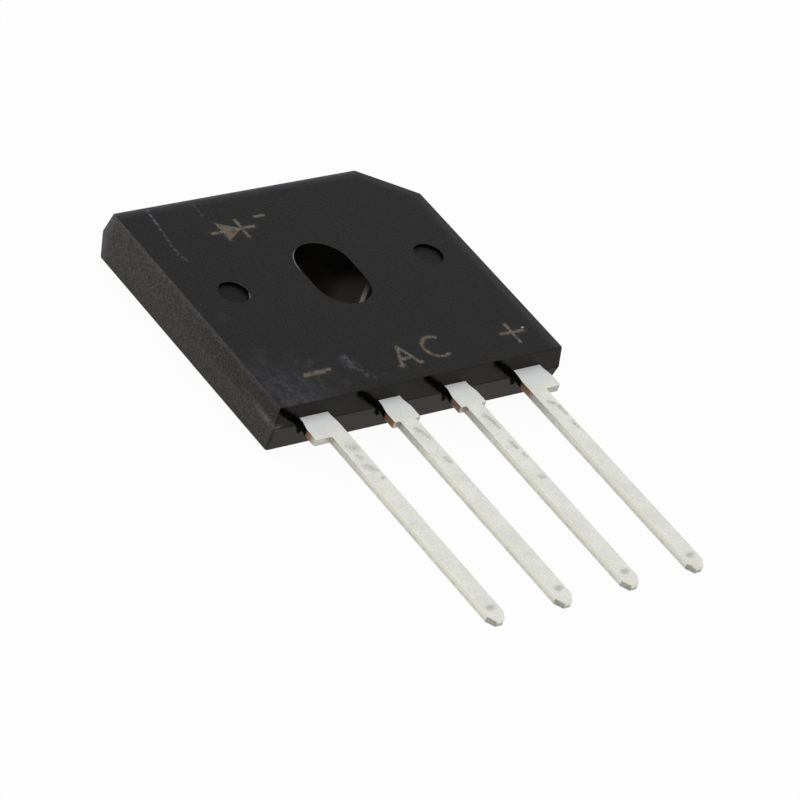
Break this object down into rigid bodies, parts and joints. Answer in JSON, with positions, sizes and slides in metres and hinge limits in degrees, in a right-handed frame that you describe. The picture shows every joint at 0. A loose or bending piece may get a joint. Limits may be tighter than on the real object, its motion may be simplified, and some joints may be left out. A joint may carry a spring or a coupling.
{
  "type": "bridge rectifier",
  "caption": "Flat moulded single-in-line bridge rectifier with a screw slot, a cut corner on the positive side and straight flat leads; it turns alternating into direct current.",
  "frame": {"origin": "middle of the screw slot, on the flat back face of the moulding that lies on the heatsink", "axes": "+Z out of the marked face, away from the heatsink; the leads point along -Y and the cut corner is at +X, +Y; X runs across the leads, from the negative lead at -X to the positive lead at +X"},
  "size_m": [0.022, 0.0366, 0.0033],
  "materials": {
    "moulding": "black filled epoxy, fine matt grain, rougher on the sides",
    "tinned_copper": "bright tin plate over copper sheet, bare copper at the sheared edges",
    "silicon": "grey glass-edged silicon chip, with plated faces",
    "copper": "bare copper, half bright",
    "solder": "dull grey solder"
  },
  "bodies": {
    "root": {"moulded_body": "moulding", "lead_minus": "tinned_copper", "lead_ac_left": "tinned_copper", "lead_ac_right": "tinned_copper", "lead_plus": "tinned_copper", "chip_minus_near": "silicon", "chip_minus_far": "silicon", "chip_plus_near": "silicon", "chip_plus_far": "silicon", "clip_minus_near": "copper", "clip_minus_far": "copper", "clip_plus_near": "copper", "clip_plus_far": "copper", "solder_under_minus_near": "solder", "solder_under_minus_far": "solder", "solder_under_plus_near": "solder", "solder_under_plus_far": "solder", "solder_over_minus_near": "solder", "solder_over_minus_far": "solder", "solder_over_plus_near": "solder", "solder_over_plus_far": "solder", "solder_foot_minus_near": "solder", "solder_foot_minus_far": "solder", "solder_foot_plus_near": "solder", "solder_foot_plus_far": "solder"}
  },
  "joints": []
}
